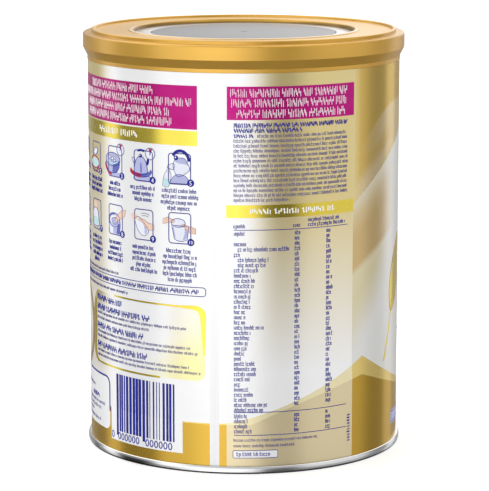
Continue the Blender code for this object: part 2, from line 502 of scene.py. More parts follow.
ridge_turn = [(WELD + RIDGE_ACROSS * share) / WALL for share in (-1, -0.66, -0.33, 0, 0.33, 0.66, 1)]
clear = (RIDGE_ACROSS + 0.3) / WALL    # no other angle lies this near the weld
wall_turn = sorted([a % math.tau for a in ridge_turn] +
                   [a for a in EVEN_TURN if abs((a - WELD / WALL + math.pi) % math.tau - math.pi) > clear])
wall_outline = rounded([
    (0.0, NECK_TOP, 0), (NECK, NECK_TOP, NECK_ROUND), (NECK, SHOULDER, 0), (WALL, SHOULDER, SHOULDER_ROUND),
    (WALL, FOOT, 0), (HOLLOW, FOOT, 0), (HOLLOW, HOLLOW_TOP, 0), (0.0, HOLLOW_TOP, 0)])
wall = turn("printed_wall", wall_outline, wall_finish(), wall_turn, relief=weld_ridge)
settle(wall, "printed_tinplate", "tin_body")

# %% [markdown]
# ## Bare tinplate
# The end that closes the foot isn't printed. Rolled tinplate is bright, with fine lines the way it was rolled, and
# stamping the end leaves them running round. Noise that is stretched round the axis gives the lines, in roughness and
# in a bump too small to see by itself, and they break up the reflections as the real ones do. In the photo the seam
# mirrors a black card at its left, which the printed wall hardly shows, and the table's dark edge along its foot. Both
# are painted as a darker metal, because a card in the studio would darken the wall as well.

# %% Bare tinplate's finish
MIRRORED_BLACK = (0.02, 0.02, 0.022)


def bare_finish():
    material, bench, shader = new_finish("bare_tinplate", Metallic=1.0)
    place = bench.place()
    parts = bench.split(place)
    reach = bench.reach(parts)
    ring_place = bench.node("ShaderNodeCombineXYZ", {}, {0: reach, 1: parts["Z"], 2: 0.0})
    lines = bench.noise(ring_place, 3500, detail=3.0)
    cloud = bench.noise(place, 90)
    degrees = bench.angle(parts) * math.degrees(1)
    outside = bench.rise(reach, 0.0630, 0.0636)
    card = bench.between(degrees, -50.0, -35.5, 4.5) * 0.88 + bench.between(degrees, -70.5, -65.5, 2.0) * 0.5
    card = card * bench.fall(parts["Z"], 0.0016, 0.0027) * outside
    table_edge = bench.fall(parts["Z"], 0.0001, 0.0006) * outside * 0.55
    sheet = bench.mix(cloud, (0.88, 0.885, 0.90), (0.97, 0.97, 0.97))
    bench.feed(shader.inputs["Base Color"], bench.mix(bench.higher(card, table_edge), sheet, MIRRORED_BLACK))
    bench.feed(shader.inputs["Roughness"], 0.13 + lines * 0.08 + cloud * 0.04)
    bench.feed(shader.inputs["Normal"], bench.bump(lines, 0.0000015))
    return material


# %% [markdown]
# ## The sunk end and its double seam
# The end is pressed with expansion steps, then its rim is rolled round the wall's foot into a double seam, which is
# the ring that the tin stands on. The seam's outside is nearly flat, with a soft shoulder above and a tighter turn
# below, and that turn mirrors the table as a dark line, which a painted dark reflection along the foot deepens.

# %% The bottom end
STEP_RADII, STEP_UP, STEP_WIDE, STEP_ROUND = (50.0, 38.0), 0.7, 1.2, 0.6
PANEL_TOP, PANEL_UNDER = 4.8, 4.1


def panel_steps(height):
    """Return the sunk panel's steps, from its rim inwards, and its height in the middle."""
    corners = []
    for radius in STEP_RADII:
        corners += [(radius, height, STEP_ROUND), (radius - STEP_WIDE, height + STEP_UP, STEP_ROUND)]
        height += STEP_UP
    return corners, height


upper_steps, upper_middle = panel_steps(PANEL_TOP)
under_steps, under_middle = panel_steps(PANEL_UNDER)
end_outline = rounded([
    (0.0, upper_middle, 0), *reversed(upper_steps), (62.4, PANEL_TOP, STEP_ROUND), (62.4, 2.9, 0),
    (64.3, 2.95, 0.4), (64.7, 1.8, 1.2), (64.62, 0.7, 0.8), (64.35, 0.0, 0.25), (62.7, 0.0, 0.35),
    (61.6, PANEL_UNDER, STEP_ROUND), *under_steps, (0.0, under_middle, 0)])
settle(turn("seamed_end", end_outline, bare_finish()), "bare_tinplate", "bottom_end")

# %% [markdown]
# ## Gold pearl plastic
# The overcap is moulded from plastic with fine pearl flakes. It glows like metal from the front, but its skin mirrors
# the pale room where it is seen at a low angle, which turns the top peach. So the shader is three quarters metal, with
# a soft clear coat. The flakes drift in the mould and leave faint flow marks, which fine and broad noise stand for.
# Four places are painted a little lighter or darker, where the cap's steps mirror or shade each other in a way that
# this simple studio doesn't give: the pocket's wall, the lip round it, the flat plate and the band's upper corner.

# %% The overcap's finish
cap_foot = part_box("overcap")[0].z / MM
POCKET_TOP = 10.7
PEARL_FLAKE, MIRRORED_ROOM = (0.95, 0.70, 0.30), (0.94, 0.85, 0.68)
DEEP_POCKET, DARK_SHOULDER = (0.16, 0.085, 0.012), (0.35, 0.18, 0.02)


def gold_plastic_finish():
    material, bench, shader = new_finish("gold_plastic", Metallic=0.72, Coat_Weight=0.5, Coat_Roughness=0.2)
    rise, between = bench.rise, bench.between
    place = bench.place()
    flakes = bench.noise(place, 2600, detail=1.0)
    flow = bench.noise(place, 60, detail=3.0, stretch=(1.0, 1.0, 2.5))
    parts = bench.split(place)
    x, y, height, reach = parts["X"], parts["Y"], parts["Z"] * 1000, bench.reach(parts) * 1000
    raised = height - cap_foot
    depth = cap_foot + POCKET_TOP - height + rise(abs(x), 0.012, 0.034) * 0.7
    pocket = rise(depth, -0.3, 0.4) * between(reach, 43.0, 45.6, 0.2)
    lip = rise(raised, 11.3, 11.45) * between(reach, 44.4, 47.2, 0.1) * rise(-y, -0.006, 0.012)
    plate = rise(raised, 11.1, 11.2) * between(reach, 47.3, 60.3, 0.1) * rise(abs(y), 0.010, 0.030)
    corner = rise(raised, 9.9, 10.4) * rise(reach, 61.9, 62.3) * rise(abs(x), 0.020, 0.055)
    tone = bench.mix(flow, (0.80, 0.455, 0.066), (0.88, 0.505, 0.086))
    for mask, colour in (((flakes - 0.5) * 0.25, PEARL_FLAKE), (lip * 0.6 + plate * 0.12, MIRRORED_ROOM),
                         (corner * 0.35, DARK_SHOULDER), (pocket * 0.75, DEEP_POCKET)):
        tone = bench.mix(mask, tone, colour)
    bench.feed(shader.inputs["Base Color"], tone)
    bench.feed(shader.inputs["Roughness"], 0.38 + (flakes - 0.5) * 0.10)
    bench.feed(shader.inputs["Normal"], bench.bump(flakes, 0.000002))
    return material


# %% [markdown]
# ## The overcap
# The overcap grips the tin's neck. From below it has a lip, an undercut that swells to the band, a ledge, a thin
# ridge, a flat plate and a small lip round the window's pocket. It is one outline turned once, so that its steps stay
# true circles and share one finish. Corner roundings differ: the band's upper edge is soft, and the rest is crisp.

# %% The overcap's outline
# Radius, height above the cap's foot, and rounding.
cap_corners = [
    (0.0, 9.3, 0), (44.6, 9.3, 0), (44.6, 10.3, 0), (45.3, 11.7, 0.35), (46.9, 11.7, 0.35), (47.05, 11.25, 0.15),
    (60.38, 11.25, 0.15), (60.5, 12.2, 0.45), (61.9, 12.2, 0.45), (62.02, 10.7, 0.15), (65.4, 10.7, 0.8),
    (65.4, 4.95, 0.3), (63.65, 1.5, 0.25), (63.65, 0.0, 0.1), (62.5, 0.0, 0.1), (62.5, 8.1, 0), (0.0, 8.1, 0)]
cap_outline = rounded([(radius, cap_foot + height, rounding) for radius, height, rounding in cap_corners])
settle(turn("gold_overcap", cap_outline, gold_plastic_finish()), "gold_plastic", "overcap")

# %% [markdown]
# ## The window
# A white ring and a grey disc lie in the overcap's pocket. Both are moulded plastic with a satin skin. The disc has
# the small sunk mark that the mould's gate leaves in its middle, and faint flow lines that fan out from it. The ring
# has the glossier skin, and a shade painted where the pocket's wall stands beside it, over more of its width at the
# back.

# %% Finishes of the window's ring and disc
UNSHADED = 100.0
WALL_SHADE = (0.13, 0.10, 0.06)


def satin_finish(name, dark, light, roughness, metallic=0.0, shaded=UNSHADED, coat=(0.4, 0.25)):
    """Return a satin skin under a coat of a weight and roughness, with shade painted near a wall at a radius in
    millimetres.
    """
    material, bench, shader = new_finish(name, Metallic=metallic, Coat_Weight=coat[0], Coat_Roughness=coat[1])
    place = bench.place()
    parts = bench.split(place)
    reach = bench.reach(parts)
    fan_place = bench.node(
        "ShaderNodeCombineXYZ", {}, {0: bench.angle(parts) * 0.02, 1: reach * 0.15, 2: parts["Z"]})
    fan = bench.noise(fan_place, 450, detail=2.0)
    skin = bench.noise(place, 1800, detail=1.0)
    # painted shade: darker near the wall at the radius shaded, and over a wider band at the back
    corner = bench.rise(reach * 1000, shaded - 4.4, shaded - 0.3) * 0.84
    back = bench.rise(parts["Y"], 0.010, 0.036) * bench.rise(reach * 1000, shaded - 7, shaded - 6.9) * 0.62
    shaded_skin = bench.mix(bench.higher(corner, back), bench.mix(fan, dark, light), WALL_SHADE)
    bench.feed(shader.inputs["Base Color"], shaded_skin)
    bench.feed(shader.inputs["Roughness"], roughness + (skin - 0.5) * 0.08)
    bench.feed(shader.inputs["Normal"], bench.bump(skin, 0.000003))
    return material


# %% The window's ring and disc
RING_OUTSIDE, RING_INSIDE, DISC_OUTSIDE = 44.3, 37.75, 37.45
GATE_MARK, GATE_DEPTH = 1.5, 0.25
window_low, window_high = (corner.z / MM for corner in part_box("window_ring"))
ring_outline = rounded([
    (RING_INSIDE, window_high, 0.12), (RING_OUTSIDE, window_high, 0.12),
    (RING_OUTSIDE, window_low, 0), (RING_INSIDE, window_low, 0)])
disc_outline = rounded([
    (0.0, window_high - GATE_DEPTH, 0), (GATE_MARK - 0.3, window_high - GATE_DEPTH, 0.05),
    (GATE_MARK, window_high, 0.05), (DISC_OUTSIDE, window_high, 0.12), (DISC_OUTSIDE, window_low, 0),
    (0.0, window_low, 0)])
ring_skin = satin_finish(
    "white_plastic", (0.80, 0.84, 0.90), (0.88, 0.90, 0.93), 0.36, shaded=44.6, coat=(0.9, 0.12))
disc_skin = satin_finish("grey_plastic", (0.255, 0.255, 0.27), (0.30, 0.30, 0.305), 0.45, metallic=0.3)
settle(turn("ring_of_window", ring_outline, ring_skin, closed=True), "white_plastic", "window_ring")
settle(turn("disc_of_window", disc_outline, disc_skin), "grey_plastic", "window_disc")

# %% [markdown]
# ## Inks that lie on the ground
# The label's panels, lines and pictures are screened inks that lie on the sheet as films. They could be painted in the
# wall's finish, but hundreds of small marks make a network that no one can read. Here each ink is its own piece: flat
# shapes on the sheet, given a thickness and rolled onto the wall. A film's top stands about a tenth of a millimetre or
# less above the wall, and its underside lies inside it, so that each shape is a closed solid with no gap below it.

# %% Places on the round wall
LONGEST = 2.0    # a longer flat side would cut into the round wall
SUNK = 0.05      # how deep a film's underside lies in the wall


def on_wall(across, up, above):
    """Return the point in metres at a place on the sheet and a height in millimetres above the wall."""
    reach = WALL + above
    return (reach * MM * math.sin(across / WALL), -reach * MM * math.cos(across / WALL), up * MM)


def steps_between(low, high):
    """Return stops from low to high that are no more than LONGEST apart."""
    count = max(1, math.ceil(abs(high - low) / LONGEST))
    return [low + (high - low) * step / count for step in range(count + 1)]


def area(outline):
    return sum(a[0] * b[1] - b[0] * a[1] for a, b in zip(outline, outline[1:] + outline[:1])) / 2


print(f"a film {LONGEST} mm long bends by {math.degrees(LONGEST / WALL):.2f} degrees")


# %% A film of ink
class Film:
    """Shapes of one ink. Each is drawn flat on the sheet in millimetres and becomes a thin closed solid.

    The number that a film is made with is its height above the wall: a higher film covers a lower one.
    """

    def __init__(self, above):
        self.above = above
        self.points, self.faces = [], []

    def add(self, flat, faces):
        """Add a shape from its flat points and its faces, which run anticlockwise."""
        top, under = len(self.points), len(self.points) + len(flat)
        self.points += [on_wall(across, up, self.above) for across, up in flat]
        self.points += [on_wall(across, up, -SUNK) for across, up in flat]
        self.faces += [tuple(top + corner for corner in face) for face in faces]
        self.faces += [tuple(under + corner for corner in reversed(face)) for face in faces]
        edges = [(a, b) for face in faces for a, b in zip(face, face[1:] + face[:1])]
        inner = set(edges)
        self.faces += [(under + a, under + b, top + b, top + a) for a, b in edges if (b, a) not in inner]

    def bar(self, left, right, low, high):
        stops = steps_between(left, right)
        count = len(stops)
        faces = [(step, step + 1, count + step + 1, count + step) for step in range(count - 1)]
        self.add([(stop, low) for stop in stops] + [(stop, high) for stop in stops], faces)

    def stroke(self, path, width, closed=False):
        """Add a line of even width along a path."""
        fine = []
        for start, end in zip(path, path[1:] + path[:1] if closed else path[1:]):
            count = max(1, math.ceil(abs(end[0] - start[0]) / LONGEST))
            fine += [tuple(a + (b - a) * step / count for a, b in zip(start, end)) for step in range(count)]
        if not closed:
            fine.append(tuple(path[-1]))
        right, left = [], []
        for index, here in enumerate(fine):
            last = fine[index - 1] if index or closed else here
            after = fine[(index + 1) % len(fine)] if index < len(fine) - 1 or closed else here
            along = (Vector(after) - Vector(last)).normalized()
            right.append((here[0] + along.y * width / 2, here[1] - along.x * width / 2))
            left.append((here[0] - along.y * width / 2, here[1] + along.x * width / 2))
        count = len(fine)
        turns = range(count if closed else count - 1)
        self.add(right + left, [(a, (a + 1) % count, count + (a + 1) % count, count + a) for a in turns])

    def patch(self, outline, *holes):
        """Add a filled outline, cut where it gets too long to follow the wall."""
        loops = [[Vector((x, y, 0.0)) for x, y in loop] for loop in (outline, *holes)]
        corners = [corner for loop in loops for corner in loop]
        flat = bmesh.new()
        made = [flat.verts.new(corner) for corner in corners]
        for triangle in tessellate_polygon(loops):
            turned = area([corners[corner][:2] for corner in triangle]) < 0
            flat.faces.new([made[corner] for corner in (reversed(triangle) if turned else triangle)])
        left, right = min(x for x, _ in outline), max(x for x, _ in outline)
        for stop in steps_between(left, right)[1:-1]:
            everything = flat.verts[:] + flat.edges[:] + flat.faces[:]
            bmesh.ops.bisect_plane(flat, geom=everything, plane_co=(stop, 0, 0), plane_no=(1, 0, 0))
        flat.verts.index_update()
        points = [tuple(vert.co.xy) for vert in flat.verts]
        faces = [tuple(vert.index for vert in face.verts) for face in flat.faces]
        flat.free()
        self.add(points, faces)

    def piece(self, name, finish):
        """Make the film's shapes into one piece that rides on the tin."""
        made = make_piece(name, self.points, self.faces, finish)
        print(f"{name}: {len(self.faces)} faces")
        settle(made, "printed_tinplate")


# %% Paths of ovals and boxes
def oval(x, y, wide, high, start=0, end=360, tilt=0, steps=24):
    """Return a path round part of an oval, with its half width, half height and tilt in degrees."""
    whole = abs(end - start) == 360
    lean = math.radians(tilt)
    path = []
    for step in range(steps if whole else steps + 1):
        turn_by = math.radians(start + (end - start) * step / steps)
        a, b = wide * math.cos(turn_by), high * math.sin(turn_by)
        path.append((x + a * math.cos(lean) - b * math.sin(lean), y + a * math.sin(lean) + b * math.cos(lean)))
    return path


def box_path(left, right, low, high, corner, steps=5):
    corners = [(left, low, corner), (right, low, corner), (right, high, corner), (left, high, corner)]
    return [tuple(point) for point in rounded(corners, steps)]


print(f"an oval has {len(oval(0, 0, 1, 1))} points, a box with round corners {len(box_path(0, 4, 0, 4, 1))}")


# %% An ink's finish
def ink_finish(name, colour, metallic=0.0, roughness=0.25):
    """Return an ink that is a little cloudy and dotted, as a screened ink is, under a thin varnish."""
    material, bench, shader = new_finish(name, Specular_IOR_Level=0.1)
    place = bench.place()
    cloud = bench.noise(place, 160)
    dots = bench.noise(place, 4200, detail=1.0)
    paler = tuple(share + (1 - share) * 0.035 for share in colour)
    bench.feed(shader.inputs["Base Color"], bench.mix(cloud * 0.7 + dots * 0.3, colour, paler))
    bench.feed(shader.inputs["Roughness"], roughness + (dots - 0.5) * 0.03)
    if metallic:
        bench.feed(shader.inputs["Metallic"], metallic - cloud * 0.06)
    return material


plum_ink = ink_finish("plum_ink", (0.50, 0.0, 0.20), 0.5)
lemon_ink = ink_finish("lemon_ink", (0.98, 0.78, 0.10), 1.0, 0.18)
white_ink = ink_finish("white_ink", (0.93, 0.93, 0.93))
blue_ink = ink_finish("blue_ink", (0.008, 0.012, 0.26))
slate_ink = ink_finish("slate_ink", linear(92, 88, 136))
bronze_ink = ink_finish("bronze_ink", (0.72, 0.40, 0.15), 0.9, 0.22)

# %% [markdown]
# ## Panels and bands
# Two plum panels head the label, with a lemon band below each. Lemon is a translucent ink on bare metal, so it flashes
# from pale yellow to olive where the studio turns dark. The plum has some white under it and shifts less. Plain bars
# are enough for these shapes, as long as they are cut every two millimetres to follow the wall.

# %% Plum panels, lemon bands and white boxes
LABEL_LEFT, BANDS_RIGHT = -108.0, -18.2
COLUMN_LEFT, COLUMN_RIGHT = -6.5, 47.3
SEAL_BOX = (-4.2, 13.5, 6.3, 9.3, 0.5)

plum = Film(0.04)
plum.bar(COLUMN_LEFT, COLUMN_RIGHT, 140.1, 153.0)
plum.bar(LABEL_LEFT, BANDS_RIGHT, 136.0, 153.0)
plum.piece("plum_panels", plum_ink)

lemon = Film(0.04)
lemon.bar(COLUMN_LEFT - 0.3, COLUMN_RIGHT, 102.0, 107.0)
lemon.bar(LABEL_LEFT, BANDS_RIGHT, 129.6, 135.4)
lemon.piece("lemon_bands", lemon_ink)

white_boxes = Film(0.04)
white_boxes.bar(-63.3, -24.7, 7.0, 20.3)
white_boxes.patch(box_path(*SEAL_BOX))
white_boxes.patch(box_path(-100.0, -64.5, 10.1, 31.9, 3.3))
white_boxes.piece("white_boxes", ink_finish("white_base_ink", WHITE, 0.28))

# %% [markdown]
# ## Lines of print
# Where a real label has words, this one has lines of marks that say nothing: posts, slabs and steps, set in groups as
# long as words are. At arm's length they read as fine print. A text object could fill the lines faster, but it would
# say something. A seeded dice makes the same marks at each run.

# %% Marks in place of words
dice = random.Random(7)
MARK_GAP = 0.6
# Each mark is a list of bars: left, right, low and high, as shares of a pitch and of the line's height.
MARKS = [
    [(0.0, 0.28, 0.0, 1.0), (0.56, 0.84, 0.0, 0.76)],
    [(0.0, 0.28, 0.0, 1.0), (0.56, 0.84, 0.24, 1.0)],
    [(0.0, 0.28, 0.0, 0.62), (0.56, 0.84, 0.38, 1.0), (0.28, 0.56, 0.40, 0.60)],
    [(0.0, 0.28, 0.38, 1.0), (0.56, 0.84, 0.0, 0.62), (0.28, 0.56, 0.40, 0.60)],
    [(0.0, 0.28, 0.5, 1.0), (0.56, 0.84, 0.0, 0.5), (0.28, 0.56, 0.2, 0.8)],
    [(0.28, 0.56, 0.0, 1.0), (0.0, 0.28, 0.70, 0.86), (0.56, 0.84, 0.14, 0.30)],
]


def print_marks(film, left, right, low, high, pitch, weight=1.0):
    """Fill a line with marks of even height, in groups of three to nine. The weight widens or thins each mark."""
    here = left
    while here < right - pitch:
        for _ in range(min(dice.randint(3, 9), int((right - here) / pitch))):
            for mark_left, mark_right, foot, head in dice.choice(MARKS):
                middle, half = (mark_left + mark_right) / 2, (mark_right - mark_left) * weight / 2
                film.bar(here + (middle - half) * pitch, here + (middle + half) * pitch,
                         low + foot * (high - low), low + head * (high - low))
            here += pitch
        here += pitch * MARK_GAP


print(f"{len(MARKS)} marks to choose from")

# %% Small marks
STEM, TIE, BODY, SMALL_GAP = 0.3, 0.15, 0.70, 0.55
NARROW, MIDDLING, WIDE = 0.62, 0.56, 0.84
# Each kind of small line: how far it reaches below and above its middle, and its pitch.
COLUMN_KIND, NOTE_KIND, ADDRESS_KIND = (0.62, 0.76, 0.70), (0.52, 0.64, 0.72), (0.62, 0.72, 0.9)
CAPTION_KIND, SEAL_KIND = (0.78, 0.92, 0.8), (0.8, 0.8, 0.85)
NAME_KIND, UNIT_KIND, AMOUNT_KIND = (0.78, 0.94, 0.74), (0.80, 0.96, 0.72), (0.82, 1.0, 0.72)
HEAD_KIND = (0.70, 0.84, 0.82)


def print_small(film, left, right, middle, kind):
    """Fill a line with narrow and wide marks, most of them two thirds high."""
    below, above, pitch = kind
    low, high = middle - below, middle + above
    stem, tie = pitch * STEM, (high - low) * TIE
    body = low + (high - low) * BODY
    here = left
    while here < right - pitch:
        for _ in range(min(dice.randint(2, 9), int((right - here) / pitch))):
            reach, shape = dice.random(), dice.random()
            foot, head = (low, high) if reach < 0.3 else (low - tie * 1.8, body) if reach > 0.9 else (low, body)
            film.bar(here, here + stem, foot, head)
            if shape < 0.3:
                here += pitch * NARROW
                continue
            if shape < 0.75:
                film.bar(here + pitch * MIDDLING, here + pitch * MIDDLING + stem, low, body)
                film.bar(here + stem, here + pitch * MIDDLING, body - tie, body)
            else:
                film.bar(here + stem, here + pitch * WIDE, low, low + tie)
                film.bar(here + stem, here + pitch * WIDE, body - tie, body)
            here += pitch * 1.1
        here += pitch * SMALL_GAP


# %% White marks on the plum and lemon
white_marks = Film(0.13)
for low, high, left, right in (
        (148.9, 152.1, -5.2, 45.7), (145.0, 148.2, -4.8, 45.2), (140.9, 144.1, -2.8, 43.5),
        (148.9, 152.1, -80.0, -36.2), (144.9, 148.1, -104.0, -19.0), (140.9, 144.1, -86.0, -28.8),
        (137.0, 140.2, -86.0, -28.4)):
    print_marks(white_marks, left, right, low, high, 1.32, 0.52)
print_marks(white_marks, 2.3, 37.9, 103.5, 105.6, 1.7, 0.8)
print_marks(white_marks, -71.5, -43.5, 131.3, 133.9, 2.5, 0.65)
white_marks.piece("white_marks", white_ink)

# %% Bold blue lines and headings
COLUMN_TEXT, COLUMN_END = -3.9, 44.3
PANEL_TEXT, NOTE_TEXT = -76.0, -104.0

bold = Film(0.10)
print_marks(bold, COLUMN_TEXT, 4.3, 133.1, 134.6, 0.9, 1.15)
for low, high, left, right in ((137.1, 138.9, -3.8, COLUMN_END), (135.1, 136.9, -3.8, 23.3)):
    print_marks(bold, left, right, low, high, 0.95, 1.2)
for middle, right in ((63.4, -55.0), (59.6, -38.2), (52.0, -41.5), (44.1, -40.0)):
    print_marks(bold, PANEL_TEXT, right, middle - 1.2, middle + 1.25, 1.36, 0.95)
print_marks(bold, NOTE_TEXT, -16.8, 71.4, 73.2, 1.05)
bold.stroke([(-90.0, 31.9), (-68.2, 31.9)] + oval(-67.9, 28.6, 3.3, 3.3, 90, 0, steps=8) + [(-64.6, 18.0)], 0.7)
print_marks(bold, -84.2, -73.4, 21.4, 23.4, 1.36, 0.9)
print_small(bold, -2.8, 11.6, 7.9, SEAL_KIND)
bold.piece("bold_lines", blue_ink)

# %% Small lines of both columns
LINES, FIRST_LINE, LINE_PITCH = 14, 133.9, 1.92

small = Film(0.08)
for number in range(LINES):
    left, right = 5.2 if number == 0 else COLUMN_TEXT, 19.0 if number == LINES - 1 else COLUMN_END
    print_small(small, left, right, FIRST_LINE - LINE_PITCH * number, COLUMN_KIND)
for middle, left, right in (
        (57.3, PANEL_TEXT, -22.3), (55.2, PANEL_TEXT, -39.5), (49.6, PANEL_TEXT, -20.8), (47.6, PANEL_TEXT, -17.0),
        (41.8, PANEL_TEXT, -20.8), (39.8, PANEL_TEXT, -17.0), (75.6, NOTE_TEXT, -57.0), (68.6, NOTE_TEXT, -50.0),
        (13.5, -4.0, 31.0), (11.2, -4.0, 20.3)):
    print_small(small, left, right, middle, NOTE_KIND)
for middle, right in ((26.0, -80.0), (19.9, -68.2), (17.6, -72.5), (15.4, -82.0), (12.7, -72.5)):
    print_small(small, -98.0, right, middle, ADDRESS_KIND)
small.piece("small_lines", slate_ink)

# %% Lines under the pictures
FRAME_MIDDLES = (-92.6, -75.85, -59.1, -42.35, -25.6)
# The middle of each line, and its width under each of the five frames.
CAPTIONS = {
    111.8: (13.0, 13.0, 7.4, 14.0, 15.5), 109.5: (13.4, 13.6, 9.4, 11.7, 15.7),
    107.2: (12.0, 14.5, 11.4, 9.4, 16.6), 104.95: (0, 0, 0, 0, 10.7),
    88.1: (12.0, 12.0, 9.6, 12.0, 11.8), 85.8: (13.0, 12.6, 8.8, 12.0, 14.5),
    83.5: (11.0, 12.0, 11.4, 12.2, 15.4), 81.2: (12.4, 11.6, 11.8, 8.2, 14.2),
    78.9: (0, 6.6, 0, 14.5, 15.0), 76.6: (0, 0, 0, 0, 10.5)}

captions = Film(0.09)
for middle, widths in CAPTIONS.items():
    for centre, width in zip(FRAME_MIDDLES, widths):
        if width:
            print_small(captions, centre - width / 2, centre + width / 2, middle, CAPTION_KIND)
captions.piece("caption_lines", blue_ink)

# %% [markdown]
# ## The table
# Under the right lemon band stands a long table: names at the left, units in the middle and amounts at the right, with
# a thin rule above and below each block. The rows are evenly pitched, so a list of name widths is all that it needs.
# A narrow column of blocks stands upright beside its foot.

# %% Rows, units and amounts
TABLE_TOP, ROW_PITCH = 95.8, 2.063
NAME_WIDTHS = (5.4, 0, 5.6, 21, 3, 12.8, 11.7, 10, 7.4, 8.2, 8.8, 7.3, 7.3, 7, 7.3, 4.4, 4.9, 4.8, 12.8, 7.4, 6, 6.1,
               5.7, 4.8, 3, 9, 9, 8.8, 6.9, 3, 6.4, 7.7, 5.6, 13.4, 12.6)
INDENTED = (3, 5, 6)
LAST_OF_BLOCK = len(NAME_WIDTHS) - 1    # its amount stands in the row above
NAME_LEFT, NAME_INDENTED, UNIT_LEFT, UNIT_RIGHT, AMOUNT_LEFT = -3.8, -2.3, 20.2, 22.7, 33.9
RULES, RULE_RIGHT, RULE_HALF = (97.2, 24.7, 15.5), 44.2, 0.12
LOWER_ROWS = ((23.2, 5.6), (21.15, 5.8), (19.1, 5.8), (17.05, 7))

table = Film(0.08)
rows = [(TABLE_TOP - ROW_PITCH * row, width) for row, width in enumerate(NAME_WIDTHS)]
for row, (middle, width) in enumerate([*rows, *LOWER_ROWS]):
    left = NAME_INDENTED if row in INDENTED else NAME_LEFT
    if width:
        print_small(table, left, left + width, middle, NAME_KIND)
    if row != LAST_OF_BLOCK:
        print_small(table, UNIT_LEFT, UNIT_RIGHT, middle, UNIT_KIND)
        print_small(table, AMOUNT_LEFT, AMOUNT_LEFT + dice.choice((1.8, 2.5, 3.2)), middle, AMOUNT_KIND)
for middle, left, right in ((100.6, 25.7, 41.0), (98.7, -4.0, 1.7), (98.7, 19.5, 23.0), (98.7, 25.7, 44.0)):
    print_small(table, left, right, middle, HEAD_KIND)
for height in RULES:
    table.bar(NAME_LEFT, RULE_RIGHT, height - RULE_HALF, height + RULE_HALF)
for step in range(10):
    low = 9.4 + 1.15 * step
    table.bar(44.7, 46.1, low, low + 0.3)
    table.bar(44.7 + dice.choice((0.0, 0.5, 1.0)), 46.1, low + 0.3, low + 0.6)
table.piece("table_lines", blue_ink)

# %% [markdown]
# ## Frames and outlines
# Thin blue lines frame ten small pictures and the label's boxes. Each is a stroke along a rounded rectangle. The
# trim of the panel for more information is lemon ink, and swells where it turns the corners, so those two pieces are
# patches. Beside it, a lemon ring lies inside the bronze one.

# %% Frames and box outlines
FRAME_HALF, FRAME_ROUND = 4.7, 1.2
FRAME_ROWS = ((114.4, 126.4), (91.1, 103.1))

frames = Film(0.09)
for low, high in FRAME_ROWS:
    for centre in FRAME_MIDDLES:
        path = box_path(centre - FRAME_HALF, centre + FRAME_HALF, low, high, FRAME_ROUND)
        frames.stroke(path, 0.36, closed=True)
frames.stroke(box_path(LABEL_LEFT, -14.9, 70.6, 74.1, FRAME_ROUND), 0.28, closed=True)
frames.stroke(box_path(*SEAL_BOX), 0.22, closed=True)
frames.piece("picture_frames", ink_finish("frame_ink", linear(54, 54, 138)))

# %% The panel's trim and the lemon ring
PANEL_RIGHT, PANEL_LOW, PANEL_HIGH = -15.2, 36.8, 66.2
RING_MIDDLE = (-99.5, 50.0)

trim = Film(0.05)
trim.stroke([(-60.5, PANEL_HIGH), (-18.9, PANEL_HIGH)] + oval(-18.8, 62.6, 3.6, 3.6, 90, 0, steps=8) +
            [(PANEL_RIGHT, 58.0)], 0.7)
trim.patch([
    (-36.0, 66.0), (-26.0, 65.7), (-20.4, 65.3), (-18.2, 64.6), (-17.2, 62.4), (-16.0, 47.0), (-15.3, 47.0),
    (-14.7, 62.6), (-15.4, 65.2), (-17.6, 66.7), (-20.4, 66.8), (-26.0, 66.6), (-36.0, 66.4)])
trim.stroke([(-34.8, PANEL_LOW), (-74.0, PANEL_LOW)], 0.8)
trim.patch([
    (-77.0, 62.0), (-76.5, 56.0), (-76.6, 49.0), (-77.5, 43.5), (-76.8, 39.4), (-75.4, 37.9), (-73.8, 37.2),
    (-73.8, 36.4), (-76.4, 36.5), (-78.8, 37.8), (-80.4, 40.0), (-81.6, 44.0), (-81.9, 50.0), (-81.6, 57.0),
    (-79.2, 63.5)])
trim.stroke(oval(*RING_MIDDLE, 16.2, 16.2, steps=64), 1.6, closed=True)
trim.piece("info_panel_trim", lemon_ink)

# %% [markdown]
# ## The bar mark
# A white box near the foot holds a block of upright bars. Real ones hold a number; these widths come from the dice, so
# they hold none, and the row of figures below them is all noughts. Real bars crowd in some places and thin out in
# others, so each zone has its own widths and gaps to choose from.

# %% Bars
MODULE = 0.334
BARS_LEFT, BARS_RIGHT, BARS_TOP, BARS_FOOT, GUARD_FOOT = -59.3, -27.6, 34.5, 11.1, 9.3
# Where a zone ends, then its bars' widths and their gaps, in modules.
BAR_ZONES = (
    (-40.5, (2, 3, 4), (1, 2, 2)), (-35.0, (1, 1, 2), (3, 4, 4)), (-30.5, (2, 3, 3), (1, 2, 2)),
    (BARS_RIGHT, (1, 2, 2), (3, 3, 4)))

bars = Film(0.10)
here = BARS_LEFT
while here < BARS_RIGHT - MODULE * 2:
    widths, gaps = next(choice for end, *choice in BAR_ZONES if here < end)
    width = MODULE * dice.choice(widths)
    guard = here < -59.0 or here > -28.6 or abs(here + 43.6) < 0.6
    bars.bar(here, min(here + width, BARS_RIGHT), GUARD_FOOT if guard else BARS_FOOT, BARS_TOP)
    here += width + MODULE * dice.choice(gaps)
for first, count in ((-62.0, 1), (-57.4, 6), (-41.2, 6)):
    for step in range(count):
        bars.stroke(oval(first + 2.2 * step, 9.15, 0.74, 1.3, steps=16), 0.42, closed=True)
bars.piece("bar_mark", ink_finish("bar_ink", linear(12, 26, 140)))

# %% [markdown]
# ## Small pictures
# Ten frames show how a feed is made, in a few flat inks: a basin, a pot that boils, a kettle, a bottle, the tin. They
# are redrawn here in plain shapes. One film for each ink keeps the order of printing: pale tones first, then red, then
# the dark blue lines. The corners are places on the sheet, and a curve through them rounds what isn't straight.

